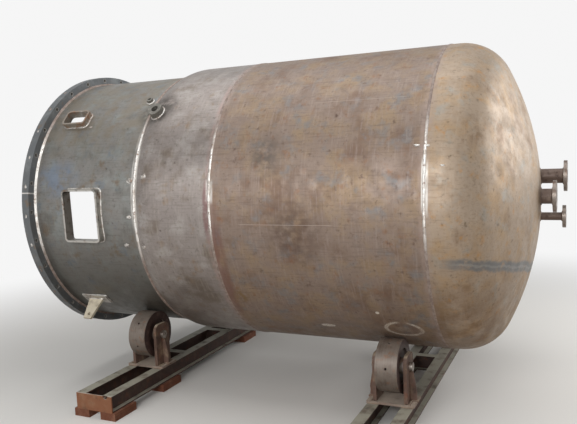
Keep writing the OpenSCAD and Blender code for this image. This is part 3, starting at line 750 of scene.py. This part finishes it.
def rounded_outline(length, width, corner, corner_steps=5):
    """(u, v) points round a rounded rectangle."""
    points = []
    for k, (su, sv) in enumerate(((1, 1), (-1, 1), (-1, -1), (1, -1))):
        cu, cv = su * (length / 2 - corner), sv * (width / 2 - corner)
        for i in range(corner_steps + 1):
            turn = math.radians(90 * k + 90 * i / corner_steps)
            points.append(Vector((cu + corner * math.cos(turn), cv + corner * math.sin(turn), 0)))
    run = []
    for point, following in zip(points, points[1:] + points[:1]):
        run += stepped(point, following)[:-1]
    return [(p.x, p.y) for p in run]


print("skin radius at the skirt's seam", round(skin_radius(SKIRT_SEAM_X), 4))

# %% [markdown]
# The two frames stand in holes in the skirt and are welded all round outside. The
# stub and the coupling are round pipes, so their welds are circles on the skin.

# %% Welds round the openings and pipes
# Each opening is (x, angle, length, width), each pipe (x, angle, the weld's radius).
ACCESS = (station(462), -1.5, 0.278, 0.335)
VENT = (station(278), 42.0, 0.190, 0.120)
STUB = (station(795), 51.0, 0.0235)
COUPLING = (station(940), 41.0, 0.0480)
FRAME_CORNER, OUTSIDE = 0.030, 0.004
frame_runs = []
for at_x, at_angle, length, width in (ACCESS, VENT):
    outline = rounded_outline(length + OUTSIDE, width + OUTSIDE, FRAME_CORNER)
    frame_runs.append([on_skin(at_x, at_angle, u, v) for u, v in outline])
weld_run("frame_welds", frame_runs, leg=0.0045, finish=weld_bright)

pipe_runs = [[on_skin(at_x, at_angle, u, v) for u, v in circle_outline(radius)]
             for at_x, at_angle, radius in (STUB, COUPLING)]
weld_run("fitting_welds", pipe_runs, leg=0.006, finish=weld_bright)

# %% [markdown]
# The nozzle necks are set on the crown, which is part of a sphere of 1.72 m
# radius, so the weld round an offset neck rises and falls with that sphere. A
# second weld joins each neck to the back of its flange.

# %% Nozzle welds
# Each is (name, distance from the axis, angle from the far side, the weld's radius).
NOZZLES = (("centre", 0.0, 0.0, 0.046), ("upper", 0.230, 27.0, 0.046),
           ("lower", 0.230, -37.0, 0.026))
nozzle_runs = []
for name, offset, at_angle, radius in NOZZLES:
    turn = math.radians(at_angle)
    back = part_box(f"{name}_nozzle_flange")[0].x
    foot, collar = [], []
    for u, v in circle_outline(radius):
        y, up = offset * math.cos(turn) + u, offset * math.sin(turn) + v
        sphere = math.sqrt(CROWN_R ** 2 - y ** 2 - up ** 2)
        foot.append(Vector((CROWN_POLE_X - CROWN_R + sphere, y, AXIS_Z + up)))
        collar.append(Vector((back, y, AXIS_Z + up)))
    nozzle_runs += [foot, collar]
weld_run("nozzle_welds", nozzle_runs, leg=0.006, finish=forged)

# %% [markdown]
# The lug's pad is welded all round to the skirt, and the lug plate to the pad. Both
# follow the skin, so their outlines are laid round it as arcs.

# %% Lug welds
LUG_X, LUG_ANGLE = station(284), -46.0


def on_pad(u, arc, height):
    """A point on the skirt round the lug, arc in metres round the skin."""
    return on_vessel(LUG_X + u, LUG_ANGLE + math.degrees(arc / SKIRT_R), SKIRT_R + height)


pad_run = [on_pad(u, v, height=0.001)
           for u, v in rounded_outline(length=0.204, width=0.084, corner=0.004)]
weld_run("pad_weld", [pad_run], leg=0.005, finish=weld_bright)
lug_run = [on_pad(u, v, height=0.011)
           for u, v in rounded_outline(length=0.112, width=0.019, corner=0.002)]
weld_run("lug_weld", [lug_run], leg=0.0045, finish=weld_bright)

# %% [markdown]
# Before the seams were welded, short cleats held the plates in line. They were
# knocked off afterwards and left rough scars beside the seams, up to 50 mm long and
# 2 mm proud, some still bright and some dull. Each scar is a sphere that is
# flattened, pushed about by noise and laid on the skin.

# %% Cleat scars
SCAR_TALL = 0.0022


def drops(name, spots, tall, finish):
    """Flat uneven drops of weld metal at (x, angle, radius, length, width) spots, in metres."""
    metal = bmesh.new()
    for i, (x, angle, radius, length, width) in enumerate(spots):
        made = bmesh.ops.create_icosphere(metal, subdivisions=3, radius=1.0)
        lay = Matrix.Translation(on_vessel(x, angle, radius)) @ Matrix.Rotation(
            math.radians(90 - angle), 4, "X")
        for vert in made["verts"]:
            push = 1 + 0.9 * noise.noise(vert.co * 1.9 + Vector((7 * i, 0, 0)))
            vert.co = lay @ Vector((vert.co.x * length / 2 * push, vert.co.y * width / 2 * push,
                                    vert.co.z * tall * push))
    mesh = bpy.data.meshes.new(name)
    metal.to_mesh(mesh)
    metal.free()
    place_piece(name, mesh, finish, "vessel")


def scar_spots(scars):
    """Spots of (station in mm, angle, length in mm) scars."""
    return [(station(mm), angle, skin_radius(station(mm)), size / 1000, size / 1800)
            for mm, angle, size in scars]


BRIGHT_SCARS = ((822, 12.5, 50), (954, 13.7, 44), (811, -2.1, 38), (2584, 21.5, 26))
DULL_SCARS = ((762, -13.9, 34), (922, -13.8, 40), (2640, 21.3, 20), (2714, 14.9, 18),
              (410, 37.8, 22))
drops("bright_cleat_scars", scar_spots(BRIGHT_SCARS), SCAR_TALL, weld_bright)
drops("dull_cleat_scars", scar_spots(DULL_SCARS), SCAR_TALL, skirt_seam_weld)

# %% [markdown]
# The two rings are tacked together on their rims, once in each pitch of the holes.
# A tack is only 1.2 mm proud, because the rings are the widest part of the vessel.

# %% Ring tacks
FIRST_TACK = -1.5
TACK_LONG, TACK_WIDE, TACK_TALL = 0.014, 0.020, 0.0012
tack_spots = [(ring_high.x, FIRST_TACK + HOLE_PITCH * k, RING_R, TACK_LONG, TACK_WIDE)
              for k in range(HOLES)]
drops("ring_tacks", tack_spots, TACK_TALL, skirt_seam_weld)

# %% [markdown]
# The stands are welded too: ear plates and gussets to the seat plates, and seat
# plates to the beams. All runs of a stand are one piece in the stand's own paint,
# because they were painted over long ago. The boxes of the seats and the wheels
# say where the plates stand, so only the plates' own sizes are given here.

# %% Stand welds
EAR_GAP, EAR_THICK, EAR_HALF = 0.016, 0.020, 0.073
GUSSET_REACH, GUSSET_HALF = 0.036, 0.006
SEAT_HALF, SEAT_FROM, SEAT_TO = 0.080, 0.068, 0.130


def stand_runs(stand):
    """Weld runs of one stand, taken from its nodes' boxes."""
    seat_low, seat_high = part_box(f"{stand}_stand_seats")
    middle = (seat_low.x + seat_high.x) / 2
    foot, top = seat_low.z, seat_high.z
    runs = []
    for row in ("near", "far"):
        wheel_low, wheel_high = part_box(f"{stand}_roller_{row}")
        y = (wheel_low.y + wheel_high.y) / 2
        for side in (-1, 1):
            inner = middle + side * ((wheel_high.x - wheel_low.x) / 2 + EAR_GAP)
            outer = inner + side * EAR_THICK
            tip = outer + side * GUSSET_REACH
            for face in (inner, outer):
                runs.append(stepped(Vector((face, y - EAR_HALF, top)),
                                    Vector((face, y + EAR_HALF, top))))
            for across in (y - GUSSET_HALF, y + GUSSET_HALF):
                runs.append(stepped(Vector((outer, across, top)), Vector((tip, across, top))))
            for edge in (y - SEAT_HALF, y + SEAT_HALF):
                runs.append(stepped(Vector((middle + side * SEAT_FROM, edge, foot)),
                                    Vector((middle + side * SEAT_TO, edge, foot))))
    return runs


for stand in STANDS:
    weld_run(f"{stand}_stand_welds", stand_runs(stand), leg=0.0055, finish=bracket_paint,
             body="stands", closed=False)

# %% [markdown]
# The camera is at the photograph's viewpoint: 1.58 m above the floor, beside the
# shell, looking towards the skirt. Its turn, tilt and slight roll come from a fit
# of the seams and outlines, in radians. Its place is given from the crown's seam.
# A focal length of 652 pixels over an image 577 pixels wide is 40.7 mm on a 36 mm
# sensor.

# %% Camera
YAW, PITCH, ROLL = -0.434, -0.104, -0.045
FOCAL_PIXELS, IMAGE_PIXELS, SENSOR_MM = 652, 577, 36.0
VIEWPOINT = Vector((CROWN_SEAM_X + 0.728, -4.0431, AXIS_Z + 0.3685))
forward = Vector((math.sin(YAW) * math.cos(PITCH), math.cos(YAW) * math.cos(PITCH),
                  math.sin(PITCH)))
level_right = Vector((math.cos(YAW), -math.sin(YAW), 0))
level_up = level_right.cross(forward)
right = level_right * math.cos(ROLL) + level_up * math.sin(ROLL)
upward = level_up * math.cos(ROLL) - level_right * math.sin(ROLL)
turn = Matrix((right, upward, -forward)).transposed().to_4x4()
camera_data = bpy.data.cameras.new("photo_camera")
camera_data.sensor_width = SENSOR_MM
camera_data.lens = FOCAL_PIXELS / IMAGE_PIXELS * SENSOR_MM
camera = bpy.data.objects.new("photo_camera", camera_data)
camera.matrix_world = Matrix.Translation(VIEWPOINT) @ turn
bpy.context.scene.collection.objects.link(camera)
bpy.context.scene.camera = camera
print("lens", round(camera_data.lens, 2), "mm")

# %% [markdown]
# The floor is plain and pale where the camera or a reflection sees it, and darker
# where light bounces off it, so that the vessel's underside stays in shade. Far from
# the object it fades to an even pale tone that needs no lamp, which meets the world
# behind it without a line.

# %% Floor
BACKDROP = 0.92
FLOOR_HALF = 60
FADE_FROM, FADE_TO = 2.2, 5.5


def seen_rays(tree):
    """1 for camera, glossy and transmission rays."""
    rays = add(tree, "ShaderNodeLightPath").outputs
    seen = add(tree, "ShaderNodeMath", {0: rays["Is Camera Ray"], 1: rays["Is Glossy Ray"]},
               operation="MAXIMUM").outputs[0]
    return add(tree, "ShaderNodeMath", {0: seen, 1: rays["Is Transmission Ray"]},
               operation="MAXIMUM").outputs[0]


floor_mesh = bpy.data.meshes.new("floor")
ground = bmesh.new()
bmesh.ops.create_grid(ground, x_segments=1, y_segments=1, size=FLOOR_HALF)
ground.to_mesh(floor_mesh)
ground.free()
floor = bpy.data.objects.new("floor", floor_mesh)
bpy.context.scene.collection.objects.link(floor)
floor_finish, tree, shader, place = new_finish("pale_floor", 0.0, 0.9)
shader.inputs["Specular IOR Level"].default_value = 0.0
seen = seen_rays(tree)
away = add(tree, "ShaderNodeVectorMath", {0: place}, operation="LENGTH").outputs["Value"]
far = add(tree, "ShaderNodeMapRange", {0: away, 1: FADE_FROM, 2: FADE_TO},
          interpolation_type="SMOOTHSTEP").outputs[0]
colour = stack(tree, srgb("#80684e"), [(srgb("#e4e2de"), seen), (srgb("#000000"), far)])
tree.links.new(colour, shader.inputs["Base Color"])
shader.inputs["Emission Color"].default_value = (BACKDROP, BACKDROP, BACKDROP, 1)
tree.links.new(both(tree, far, seen), shader.inputs["Emission Strength"])
floor_mesh.materials.append(floor_finish)
print("floor fades out between", FADE_FROM, "and", FADE_TO, "m")

# %% [markdown]
# The world is the same pale tone for the camera, less in reflections, so that steel
# doesn't look like chrome, and a plain soft grey light for everything else.

# %% World
ROOM_LIGHT, ROOM_GLOSS = 0.30, 0.55
world = bpy.data.worlds.new("studio")
world.use_nodes = True
bpy.context.scene.world = world
tree = world.node_tree
backdrop = tree.nodes["Background"]
backdrop.inputs["Color"].default_value = (1, 1, 1, 1)
rays = add(tree, "ShaderNodeLightPath").outputs
brightness = stack(tree, ROOM_LIGHT, [
    (ROOM_GLOSS, rays["Is Glossy Ray"]), (BACKDROP, rays["Is Camera Ray"])], "FLOAT")
tree.links.new(brightness, backdrop.inputs["Strength"])
print("world", ROOM_LIGHT, "in reflections", ROOM_GLOSS)

# %% [markdown]
# A wide soft light stands on the camera's side, low enough to draw the long bright
# band along the vessel, and a second one hangs above for its top. A third stands
# behind the crown's end and lights the crown from the right. All are large, so
# shadows stay soft.

# %% Lights
def soft_light(name, place_at, target, size, power):
    """An area light that looks at a point."""
    data = bpy.data.lights.new(name, "AREA")
    data.shape = "RECTANGLE"
    data.size, data.size_y = size
    data.energy = power
    lamp = bpy.data.objects.new(name, data)
    aim = (Vector(target) - Vector(place_at)).to_track_quat("-Z", "Y")
    lamp.matrix_world = Matrix.Translation(place_at) @ aim.to_matrix().to_4x4()
    bpy.context.scene.collection.objects.link(lamp)
    print(name, power, "W")


soft_light("front_softbox", (0.2, -6.2, 2.9), (0, 0, 1.2), size=(6.0, 1.6), power=230)
soft_light("overhead_softbox", (0.0, -0.4, 5.4), (0, 0, 1.2), size=(6.0, 4.0), power=118)
soft_light("right_softbox", (4.2, 2.0, 2.6), (1.2, -0.3, 1.4), size=(3.0, 2.6), power=105)
bpy.context.scene.view_settings.view_transform = "Standard"
